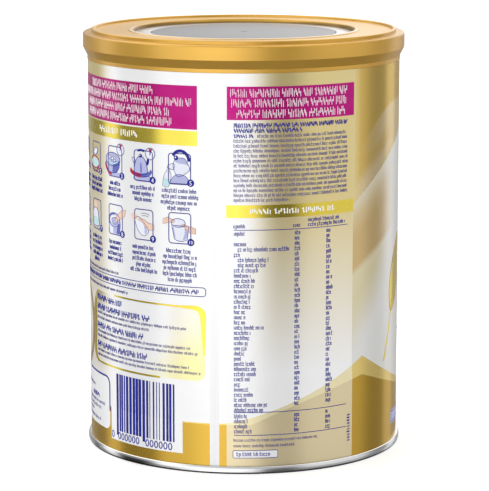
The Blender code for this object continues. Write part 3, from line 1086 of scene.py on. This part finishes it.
# %% The inks of the pictures
mist, lilac, denim, aqua, plate = (Film(above) for above in (0.050, 0.058, 0.066, 0.074, 0.078))
red, peach, slate, brown_line = (Film(above) for above in (0.082, 0.090, 0.098, 0.102))
line, numerals = Film(0.106), Film(0.14)


def smooth(corners, steps=4):
    """Return a closed path that curves through its corners."""
    path = []
    for index, start in enumerate(corners):
        before, end, after = (corners[(index + step) % len(corners)] for step in (-1, 1, 2))
        for t in (step / steps for step in range(steps)):
            path.append(tuple(
                (2 * b + (c - a) * t + (2 * a - 5 * b + 4 * c - d) * t * t + (3 * b - a - 3 * c + d) * t ** 3) / 2
                for a, b, c, d in zip(before, start, end, after)))
    return path


def outlined(shape, film, rim, width=0.22):
    """Fill a closed path with one ink and draw its outline with another."""
    film.patch(shape)
    rim.stroke(shape, width, closed=True)


# %% The two basins
def basin(x, y):
    aqua.patch(oval(x, y, 4.6, 1.9))
    red.stroke(oval(x, y + 0.2, 5.0, 2.4), 0.4, closed=True)
    red.stroke(oval(x, y, 5.2, 3.6, 190, 350), 0.45)
    line.stroke(oval(x, y, 4.6, 3.0, 200, 340), 0.2)


basin(-93.0, 118.2)
outlined([(-95.2, 121.4), (-91.0, 121.4), (-91.8, 125.6), (-94.4, 125.6)], mist, line)
basin(-77.6, 118.0)
outlined(oval(-76.6, 122.6, 2.4, 1.3, tilt=20), mist, line)
aqua.patch(smooth([(-80.8, 118.6), (-77.6, 119.4), (-74.4, 118.6), (-77.6, 117.2)]))

# %% The pot on its hob
lilac.patch(box_path(-63.5, -54.8, 114.6, 116.2, 0.6))
pot = [(-65.7, 120.9), (-65.3, 118.3), (-63.6, 116.3), (-60.7, 115.6), (-57.8, 116.2), (-56.2, 118.2),
       (-55.8, 120.9)]
lilac.patch(pot)
denim.patch([(-60.4, 120.6), (-60.9, 115.7), *pot[4:]])
mist.patch(smooth([(-64.0, 119.0), (-62.8, 118.6), (-62.6, 116.8), (-63.4, 117.2)]))
line.stroke(pot, 0.2)
outlined(oval(-60.7, 121.2, 5.1, 2.7), lilac, line, 0.26)
mist.patch(oval(-60.7, 121.3, 4.4, 2.15))
aqua.stroke(oval(-60.7, 121.3, 3.9, 1.7, 200, 340, steps=12), 0.5)
for x, y, size in ((-62.6, 122.1, 0.7), (-60.8, 121.5, 0.8), (-58.9, 122.0, 0.6), (-62.0, 120.6, 0.5),
                   (-59.3, 120.6, 0.55), (-60.6, 122.9, 0.45)):
    line.stroke(oval(x, y, size, size * 0.8, steps=10), 0.12, closed=True)
    numerals.patch(oval(x, y, size * 0.7, size * 0.55, steps=10))
red.patch([*oval(-60.8, 119.9, 5.9, 5.3, 185, 262, steps=12), *oval(-60.6, 120.1, 5.1, 4.5, 262, 185, steps=12)])

# %% The kettle on its plate
outlined(box_path(-47.3, -38.9, 114.6, 116.4, 0.7), lilac, line, 0.18)
kettle = smooth([(-46.8, 117.6), (-46.9, 119.8), (-46.1, 122.3), (-44.6, 123.9), (-42.6, 123.9), (-41.1, 122.3),
                 (-40.3, 119.8), (-40.4, 117.6), (-43.6, 116.9)])
outlined(kettle, lilac, line)
denim.patch(smooth([(-43.7, 117.9), (-43.8, 120.8), (-43.5, 121.8), (-43.1, 120.4), (-43.1, 117.9)]))
line.patch(oval(-43.7, 124.3, 0.85, 0.75, steps=14))
numerals.patch(oval(-43.9, 124.5, 0.26, 0.26, steps=8))
line.stroke([(-45.2, 126.2), (-43.6, 126.6), (-41.6, 126.3)], 0.9)
line.patch(smooth([(-39.5, 123.6), (-39.4, 122.0), (-40.1, 120.7), (-40.7, 121.2), (-40.3, 123.2)]))
outlined(smooth([(-46.9, 121.0), (-47.9, 122.2), (-48.2, 123.4), (-47.4, 123.2), (-46.6, 122.4)]), mist, line, 0.18)
red.patch([*oval(-43.7, 118.2, 5.7, 2.5, 168, 272, steps=14), *oval(-43.7, 119.3, 5.0, 1.9, 272, 178, steps=14)])
plate.patch([*oval(-43.7, 118.2, 5.7, 2.5, 272, 372, steps=14), *oval(-43.7, 119.3, 5.0, 1.9, 362, 272, steps=14)])

# %% The kettle that pours
outlined(oval(-25.4, 114.7, 4.0, 3.6, 0, 180, steps=16), lilac, line, 0.16)
line.stroke(oval(-25.2, 123.5, 3.6, 4.0, 150, 0, steps=16), 1.2)
body = smooth([(-28.3, 121.4), (-27.7, 123.6), (-26.6, 124.6), (-24.2, 124.7), (-22.8, 123.9), (-21.3, 120.9),
               (-21.6, 119.8), (-23.6, 118.3), (-26.0, 117.3), (-27.2, 118.4)], steps=3)
outlined(body, mist, line, 0.18)
lilac.patch(smooth([(-27.6, 123.4), (-26.4, 124.5), (-24.2, 124.6), (-22.9, 123.8), (-21.9, 122.0), (-23.4, 122.4),
                    (-25.6, 122.6)]))
outlined(smooth([(-28.0, 122.4), (-30.6, 121.5), (-30.2, 120.4), (-28.0, 120.2)]), mist, line, 0.18)
line.patch(oval(-27.0, 124.7, 0.95, 0.95, steps=14))
numerals.patch(oval(-27.2, 124.9, 0.3, 0.3, steps=8))
outlined([(-31.0, 120.6), (-29.7, 120.4), (-29.8, 119.4), (-29.2, 118.2), (-29.2, 116.8), (-30.2, 113.3),
          (-30.6, 113.0), (-32.8, 113.3), (-33.1, 113.8), (-32.4, 117.2), (-31.9, 118.6), (-30.9, 119.6)],
         mist, slate, 0.16)
aqua.patch([(-32.5, 116.4), (-29.4, 116.1), (-30.3, 113.4), (-32.7, 113.6), (-32.8, 114.0)])

# %% Lower row: scoop and bottle
outlined([(-96.6, 99.6), (-91.6, 99.6), (-92.4, 95.6), (-95.8, 95.6)], mist, line)
peach.stroke([(-91.8, 99.2), (-88.4, 101.4)], 1.1)
lilac.patch(oval(-94.0, 92.4, 3.4, 1.0))
bottle = smooth([(-79.4, 99.2), (-75.4, 99.2), (-73.6, 95.6), (-73.8, 92.6), (-80.4, 92.6), (-80.8, 95.6)])
outlined(bottle, mist, line)
aqua.patch(smooth([(-80.0, 95.6), (-74.2, 95.6), (-74.4, 93.0), (-79.8, 93.0)]))
peach.patch(smooth([(-79.4, 99.6), (-75.6, 99.6), (-76.4, 102.4), (-78.4, 102.4)]))

# %% The open tin
mist.patch([(-63.8, 96.8), (-63.2, 91.5), (-56.0, 91.5), (-55.4, 96.8)])
lilac.patch([(-60.4, 96.0), (-60.8, 91.5), (-56.0, 91.5), (-55.4, 96.8)])
denim.patch([(-57.4, 95.6), (-58.4, 91.5), (-56.0, 91.5), (-55.6, 95.6)])
lilac.stroke(oval(-60.0, 97.0, 3.5, 2.4), 0.9, closed=True)
denim.stroke(oval(-60.0, 97.0, 3.5, 2.4, 80, 220), 0.7)
line.stroke(oval(-60.0, 97.0, 4.0, 2.9), 0.18, closed=True)
outlined(smooth([(-61.6, 97.2), (-59.2, 98.0), (-57.4, 97.2), (-58.0, 95.6), (-60.6, 95.4)]), lilac, line, 0.18)
outlined([(-52.2, 101.7), (-54.8, 101.2), (-57.4, 99.2), (-59.2, 96.7), (-58.4, 96.2), (-56.6, 97.4), (-54.4, 98.2),
          (-52.8, 99.4)], peach, brown_line, 0.14)

# %% Shaking the bottle
shaken = smooth([(-46.9, 98.8), (-44.6, 100.0), (-40.8, 96.6), (-39.9, 94.4), (-42.0, 92.7), (-44.8, 94.2)])
outlined(shaken, mist, slate, 0.2)
lilac.patch(smooth([(-42.0, 96.8), (-40.9, 95.8), (-40.5, 94.4), (-41.6, 93.4), (-41.8, 95.4)]))
peach.patch(smooth([(-47.4, 101.4), (-49.0, 100.4), (-48.0, 98.6), (-46.6, 98.6), (-45.4, 99.8)]))
outlined([(-37.2, 97.7), (-39.6, 97.9), (-42.2, 99.2), (-44.8, 99.4), (-45.2, 98.8), (-42.8, 98.0), (-41.4, 96.4),
          (-39.8, 95.2), (-37.2, 95.4)], peach, brown_line, 0.14)
for size in (2.4, 3.3):
    slate.stroke(oval(-41.8, 98.4, size * 1.3, size, 55, 115, steps=10), 0.16)

# %% Closing the tin
outlined([(-29.0, 98.2), (-21.7, 98.0), (-22.4, 93.2), *oval(-25.1, 93.4, 2.9, 1.4, 0, -180, steps=12)[1:-1],
          (-28.0, 93.6)], mist, line)
lilac.patch(smooth([(-23.3, 97.4), (-22.2, 97.2), (-22.7, 93.4), (-24.2, 92.6), (-23.5, 95.0)]))
lilac.patch([(-28.8, 97.4), (-28.1, 97.4), (-27.3, 93.4), (-27.8, 93.4)])
outlined(oval(-26.2, 99.2, 3.0, 1.7), mist, line)
outlined([(-32.9, 100.4), (-30.8, 101.2), (-28.6, 100.4), (-27.4, 99.8), (-28.2, 99.3), (-30.4, 99.2), (-32.9, 98.3)],
         peach, brown_line, 0.14)
outlined([(-18.9, 97.3), (-21.6, 98.0), (-24.0, 98.9), (-24.9, 98.6), (-23.4, 97.4), (-21.4, 95.6), (-18.9, 95.1)],
         peach, brown_line, 0.14)

# %% Clocks and numbers
DISC, ONE_FIGURE, TWO_FIGURES = 1.45, 2.5, 1.9

for x, y in ((-55.3, 125.5), (-38.8, 125.4)):
    outlined(oval(x, y, 2.3, 2.3, steps=28), mist, slate, 0.3)
    red.patch([(x - 0.1, y - 0.3), (x - 0.7, y + 2.1), (x + 1.1, y + 1.9)])
    line.stroke([(x - 0.1, y - 0.5), (x + 0.15, y + 1.1)], 0.4)


def figures(number, x, y):
    """Return a number's points on the sheet and its faces, from a text object that becomes a mesh."""
    curve = bpy.data.curves.new("numeral", "FONT")
    curve.body, curve.align_x, curve.resolution_u = str(number), "CENTER", 2
    curve.size = ONE_FIGURE if number < 10 else TWO_FIGURES
    numeral = bpy.data.objects.new("numeral", curve)
    outline = numeral.to_mesh()
    flat = [(x + vert.co.x, y - curve.size * 0.35 + vert.co.y) for vert in outline.vertices]
    faces = [tuple(face.vertices) for face in outline.polygons]
    bpy.data.objects.remove(numeral)
    bpy.data.curves.remove(curve)
    return flat, faces


for row, (low, _) in enumerate(FRAME_ROWS):
    for column, centre in enumerate(FRAME_MIDDLES):
        x, y = centre + FRAME_HALF, low + 0.7
        line.patch(oval(x, y, DISC, DISC, steps=20))
        numerals.add(*figures(row * len(FRAME_MIDDLES) + column + 1, x, y))

print(f"{len(FRAME_ROWS) * len(FRAME_MIDDLES)} pictures are numbered")

# %% The films of the pictures become pieces
mist.piece("picture_mist", ink_finish("mist_ink", linear(228, 231, 243)))
lilac.piece("picture_lilac", ink_finish("lilac_ink", linear(178, 181, 219)))
denim.piece("picture_denim", ink_finish("denim_ink", linear(92, 102, 178)))
plate.piece("picture_plate", bpy.data.materials["denim_ink"])
aqua.piece("picture_aqua", ink_finish("aqua_ink", linear(186, 222, 226)))
peach.piece("picture_peach", ink_finish("peach_ink", linear(232, 200, 178)))
red.piece("picture_red", ink_finish("red_ink", linear(172, 20, 40)))
slate.piece("picture_slate_lines", slate_ink)
brown_line.piece("picture_brown_lines", ink_finish("brown_ink", linear(150, 104, 84)))
line.piece("picture_lines", blue_ink)
numerals.piece("picture_numbers", white_ink)

# %% [markdown]
# ## Rings and the tin's front
# The photo shows the tin from the side of its weld, so the front can't be seen. A tin like this has its show side
# there: a ribbon for the name, a round medal and small badges. These are plain designs with nothing written on them:
# a blank ribbon, a drop over ripples, a leaf and a star. Metallic bronze ink on the sheet gives the rings their glint.

# %% Bronze rings, the ribbon and its keyline
MEDAL_UP, MEDAL_INSIDE, BADGE_INSIDE = 60.0, 25.8, 10.6
BADGES = ((FRONT - 63.0, 62.0), (FRONT + 63.0, 62.0))
RIBBON_UP, RIBBON_HALF_WIDE, RIBBON_HALF_HIGH, RIBBON_RISE = 112.0, 45.0, 9.0, 3.0


def ring_shape(film, x, y, outer, inner):
    film.stroke(oval(x, y, (outer + inner) / 2, (outer + inner) / 2, steps=64), outer - inner, closed=True)


def ribbon_edge(up, steps):
    """Return one long edge of the ribbon, a little higher in the middle."""
    return [(FRONT + RIBBON_HALF_WIDE * step / 12, RIBBON_UP + up + RIBBON_RISE * (1 - (step / 12) ** 2))
            for step in steps]


notch = RIBBON_HALF_WIDE - RIBBON_HALF_HIGH * 0.6
ribbon_path = [*ribbon_edge(RIBBON_HALF_HIGH, range(12, -13, -1)), (FRONT - notch, RIBBON_UP),
               *ribbon_edge(-RIBBON_HALF_HIGH, range(-12, 13)), (FRONT + notch, RIBBON_UP)]

rings = Film(0.06)
ring_shape(rings, *RING_MIDDLE, 19.4, 16.8)
ring_shape(rings, FRONT, MEDAL_UP, 29.0, 27.4)
ring_shape(rings, FRONT, MEDAL_UP, 26.4, MEDAL_INSIDE)
for x, y in BADGES:
    ring_shape(rings, x, y, 11.6, BADGE_INSIDE)
rings.stroke(ribbon_path, 0.9, closed=True)
rings.piece("bronze_rings", bronze_ink)

ribbon = Film(0.05)
ribbon.patch(ribbon_path)
ribbon.piece("name_ribbon", plum_ink)

# %% The medal and the badges
front_mist, front_aqua, front_blue, front_small = Film(0.045), Film(0.07), Film(0.09), Film(0.08)
front_mist.patch(oval(FRONT, MEDAL_UP, MEDAL_INSIDE, MEDAL_INSIDE, steps=64))
for x, y in BADGES:
    front_mist.patch(oval(x, y, BADGE_INSIDE, BADGE_INSIDE, steps=40))


def whole_turn(steps):
    return [math.tau * step / steps for step in range(steps)]


drop = [(FRONT - 8.6 * math.sin(angle) * math.sin(angle / 2), MEDAL_UP + 5.0 + 11.0 * math.cos(angle))
        for angle in whole_turn(40)]
outlined(drop, front_aqua, front_blue, 0.5)
for wide, high in ((8.0, 2.0), (13.5, 3.4), (19.0, 4.9)):
    front_blue.stroke(oval(FRONT, MEDAL_UP - 11.0, wide, high, steps=48), 0.5, closed=True)
(leaf_x, leaf_y), (star_x, star_y) = BADGES
leaf = [(leaf_x + 6.5 * math.cos(angle) - 0.2, leaf_y + 3.2 * math.sin(angle) + 1.5 * math.cos(angle))
        for angle in whole_turn(32)]
outlined(leaf, front_aqua, front_blue, 0.4)
front_blue.stroke([(leaf_x - 8.2, leaf_y - 3.2), (leaf_x - 2.0, leaf_y - 0.4), (leaf_x + 5.6, leaf_y + 1.3)], 0.45)
star = [(star_x + size * math.cos(angle), star_y + size * math.sin(angle)) for size, angle in
        ((7.2 if step % 2 == 0 else 3.1, math.pi / 2 + math.pi * step / 5) for step in range(10))]
outlined(star, front_aqua, front_blue, 0.4)

# %% Lines of print on the front
TAG_KIND, BADGE_KIND, EDGE_KIND = (1.0, 1.1, 1.1), (0.8, 0.9, 0.9), (1.1, 1.1, 1.2)
for half, middle in ((33.0, 134.0), (24.0, 129.0)):
    print_marks(front_blue, FRONT - half, FRONT + half, middle - 1.5, middle + 1.5, 2.4)
for half, middle in ((30.0, 96.5), (22.0, 93.2)):
    print_small(front_small, FRONT - half, FRONT + half, middle, TAG_KIND)
for x, y in BADGES:
    for half, down in ((11.0, 15.4), (8.0, 18.0)):
        print_small(front_small, x - half, x + half, y - down, BADGE_KIND)
print_small(front_small, FRONT - 26, FRONT + 26, 10.5, EDGE_KIND)
front_mist.piece("front_pale_discs", bpy.data.materials["mist_ink"])
front_aqua.piece("front_shapes", bpy.data.materials["aqua_ink"])
front_blue.piece("front_outlines", blue_ink)
front_small.piece("front_small_lines", slate_ink)

# %% [markdown]
# ## Leaves and plates at the front's sides
# Beside each badge stands a plain leaf on a stem, in lemon ink straight on the metal, so that it shines like gold. At
# the foot a pale plate with a dotted edge leaves room for a stamp. Each is drawn once, at its distance from the middle
# of the front, and then laid to both sides, which keeps the front even.

# %% Leaves, stems and stamp plates
def beside(side, path):
    """Return a path, given as distances from the front's middle, laid to one side of it."""
    return [(FRONT + side * out, up) for out, up in path]


def leaf_path(foot, tip, half_wide, steps=18):
    """Return a leaf's outline, pointed at both ends and widest below its middle."""
    start, along = Vector(foot), Vector(tip) - Vector(foot)
    across = Vector((-along.y, along.x)).normalized() * half_wide
    path = []
    for step in range(2 * steps):
        bow = math.sin(math.pi * step / steps)
        share = (1 - math.cos(math.pi * step / steps)) / 2
        path.append(tuple(start + along * share + across * bow * abs(bow) ** 0.5 * (1.2 - 0.4 * share)))
    return path


# Places as a distance from the front's middle, and a height.
LEAF_FOOT, LEAF_TIP, LEAF_HALF_WIDE = (91.5, 57.0), (79.5, 88.0), 6.2
STEM_PATH = [(91.5, 57.6), (93.9, 50.4), (96.4, 44.0), (99.2, 37.6)]
VEIN_PATH = [(91.4, 57.4), (86.4, 70.6), (81.6, 83.0)]
STAMP = (68.0, 90.0, 9.2, 14.9, 1.2)
DOT = 0.36
dot_places = [(69.2 + 1.4 * step, up) for step in range(15) for up in (9.95, 14.15)]
dot_places += [(out, up) for out in (69.2, 88.8) for up in (11.35, 12.75)]

leaves, veins, stamps, stamp_dots = Film(0.05), Film(0.07), Film(0.045), Film(0.08)
for side in (-1, 1):
    outline = beside(side, leaf_path(LEAF_FOOT, LEAF_TIP, LEAF_HALF_WIDE))
    leaves.patch(outline)
    leaves.stroke(beside(side, STEM_PATH), 1.2)
    veins.stroke(outline, 0.5, closed=True)
    veins.stroke(beside(side, VEIN_PATH), 0.5)
    stamps.patch(beside(side, box_path(*STAMP)))
    for out, up in dot_places:
        stamp_dots.patch(oval(FRONT + side * out, up, DOT, DOT, steps=8))
leaves.piece("side_leaves", lemon_ink)
veins.piece("leaf_veins", bronze_ink)
stamps.piece("stamp_plates", bpy.data.materials["lilac_ink"])
stamp_dots.piece("stamp_dots", blue_ink)

# %% [markdown]
# ## The studio
# Gold and bare metal show little but what they mirror, so the light is built as a tent of soft panels round the tin,
# each a window of azimuth. Azimuth is 0 towards the camera and grows to its right. A point on a round wall mirrors
# twice its own angle, so the bright and dark bars in the photo give each panel's place. A panel of negative strength
# is a black card, which takes light away. The tent could be made of area lights; as a few sums on the sky's direction
# it is smoother, and has no edges to hide.

# %% A tent of soft panels
# From and to in degrees of azimuth, strength, and softness of the edges in degrees.
PANELS = [
    (-66, 11, 0.70, 6), (-36, -3, 0.33, 8), (-86, -66, 0.05, 6), (-123, -105, 0.60, 4), (20, 38, -0.10, 6),
    (43, 101, 0.36, 9), (129, 146.5, 0.44, 1.5)]
ROOM_LIGHT = 0.25


def light_tent():
    """Light the world by direction. `height` is -1 straight down, 0 at the horizon and 1 overhead."""
    world = bpy.data.worlds.new("light_tent")
    world.use_nodes = True
    bpy.context.scene.world = world
    bench = Bench(world.node_tree)
    rise, fall = bench.rise, bench.fall
    parts = bench.split(bench.node("ShaderNodeTexCoord", output="Generated"))
    azimuth = bench.angle(parts) * math.degrees(1)
    height = parts["Z"]
    gain = 1 + 0.28 * rise(height, -0.27, -0.10)
    light = rise(abs(azimuth), 138, 160) * 0.14 + ROOM_LIGHT
    for left, right, strength, soft in PANELS:
        light = bench.between(azimuth, left, right, soft) * strength * gain + light

    # Each line below blends towards another light: behind the tin, higher up, overhead, and under the table's edge.
    behind = rise(abs(azimuth), 140, 158) * rise(height, -0.03, 0.06)
    light = light + (0.42 + 0.80 * rise(parts["X"], -0.10, 0.07) - light) * behind
    side = rise(abs(azimuth), 35, 60) * fall(abs(azimuth), 130, 155)
    back = rise(abs(azimuth), 110, 150)
    leaning = 0.4 + 0.45 * rise(-parts["X"], -0.2, 0.2)
    light = light + (0.48 + leaning * side + 0.8 * back - light) * rise(height, 0.28, 0.45)
    overhead = 0.8 + 0.5 * rise(parts["Y"], -0.2, 0.3)
    light = light + (overhead - light) * rise(height, 0.75, 0.9)
    hung_low = bench.between(azimuth, -48, 12, 8) * 0.19
    light = light + (0.05 - light) * rise(-height - hung_low, 0.29, 0.48)

    # The camera itself sees white, as the photo's backdrop is.
    seen = bench.node("ShaderNodeLightPath", output="Is Camera Ray")
    light = light + (1.0 - light) * seen
    background = world.node_tree.nodes["Background"]
    bench.feed(background.inputs["Color"], bench.node("ShaderNodeCombineXYZ", {}, {0: light, 1: light, 2: light}))
    print(f"{len(PANELS)} panels in the tent")


light_tent()

# %% [markdown]
# ## The floor
# The tin stands on a pale seamless floor. The photo's floor is pure white, so this one glows a little by itself, and
# only the soft shadow at the tin's foot stays. It is left out of mirror reflections, where the tent's panels go on
# below the horizon, as they do round a tin on a small table.

# %% A pale seamless floor
GLOW = 0.42
FLOOR_REACH, FLOOR_RINGS = 12.0, 24


def floor_finish():
    """Return pale paper that glows, but not under the tin, where the glow would light its foot."""
    material, bench, shader = new_finish("pale_floor", Roughness=0.9, Emission_Strength=GLOW)
    place = bench.place()
    paper = bench.mix(bench.noise(place, 3), (0.90, 0.90, 0.90), (0.94, 0.94, 0.94))
    bench.feed(shader.inputs["Base Color"], paper)
    outside = bench.rise(bench.reach(bench.split(place)), 0.0632, 0.0648)
    bench.feed(shader.inputs["Emission Color"], bench.mix(outside, (0.0, 0.0, 0.0), paper))
    return material


spokes = EVEN_TURN[::5]
sides = len(spokes)
floor_points, floor_faces = [(0.0, 0.0, 0.0)], [(0, 1 + side, 1 + (side + 1) % sides) for side in range(sides)]
for ring_number in range(1, FLOOR_RINGS + 1):
    reach = FLOOR_REACH * (ring_number / FLOOR_RINGS) ** 2
    floor_points += [(reach * math.sin(angle), -reach * math.cos(angle), 0.0) for angle in spokes]
for near in range(1, 1 + (FLOOR_RINGS - 1) * sides, sides):
    for side in range(sides):
        after = (side + 1) % sides
        floor_faces.append((near + side, near + sides + side, near + sides + after, near + after))
floor = make_piece("pale_floor", floor_points, floor_faces, floor_finish())
floor.visible_glossy = False
bpy.context.scene.view_settings.view_transform = "Standard"
